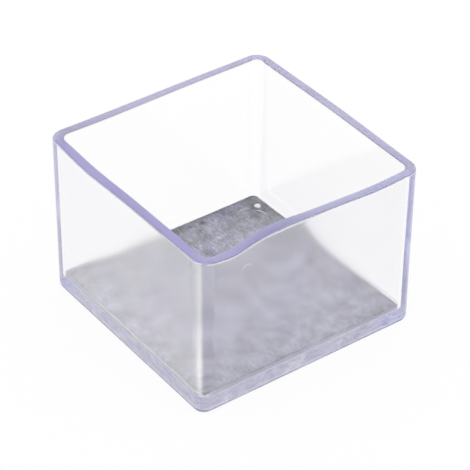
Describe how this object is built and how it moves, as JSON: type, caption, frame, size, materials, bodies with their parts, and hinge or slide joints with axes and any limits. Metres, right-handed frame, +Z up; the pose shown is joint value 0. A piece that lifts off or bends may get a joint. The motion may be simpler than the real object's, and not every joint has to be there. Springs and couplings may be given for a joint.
{
  "type": "chair leg cap",
  "caption": "Square clear soft-plastic cap that pushes onto the foot of a chair leg, with a thick base and a grey felt pad stuck down inside on its floor.",
  "frame": {"origin": "centre of the sleeve's underside, where the cap stands on the ground", "axes": "+Z up the middle of the leg pocket, towards its open rim; X and Y square to the side walls"},
  "size_m": [0.0406, 0.0406, 0.0285],
  "materials": {
    "clear_pvc": "clear soft PVC with a faint lilac tint, glossy",
    "glue": "cloudy lilac-grey film, set",
    "felt": "grey needled felt, matt and fibrous"
  },
  "bodies": {
    "root": {"clear_sleeve": "clear_pvc", "glue_film": "glue", "felt_pad": "felt"}
  },
  "joints": []
}
